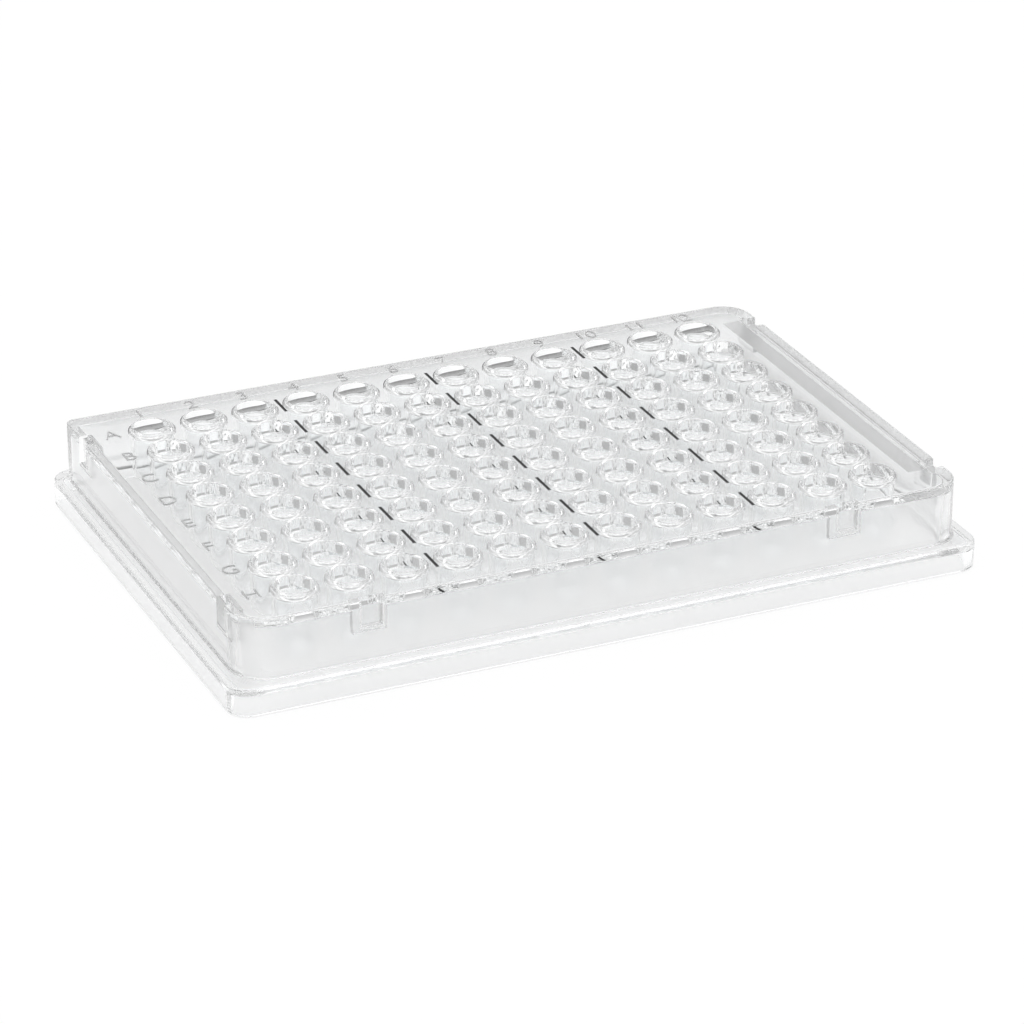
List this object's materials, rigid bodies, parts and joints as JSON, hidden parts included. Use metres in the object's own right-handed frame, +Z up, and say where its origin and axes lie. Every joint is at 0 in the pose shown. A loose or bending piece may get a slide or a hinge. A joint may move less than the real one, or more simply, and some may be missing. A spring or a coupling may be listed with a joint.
{
  "type": "well plate",
  "caption": "Clear round-bottomed multiwell plate with a grid of sample wells, a flat deck and a stepped skirt.",
  "frame": {"origin": "centre of the foot's outline, on the surface that the plate stands on", "axes": "+X along the rows from column 1 to column 12, +Y from row H towards row A, +Z up out of the wells"},
  "size_m": [0.1278, 0.0854, 0.0151],
  "materials": {
    "clear_polystyrene": "clear, polished moulding",
    "black_ink": "flat printed ink"
  },
  "bodies": {
    "root": {"plate": "clear_polystyrene", "column_dashes": "black_ink"}
  },
  "joints": []
}
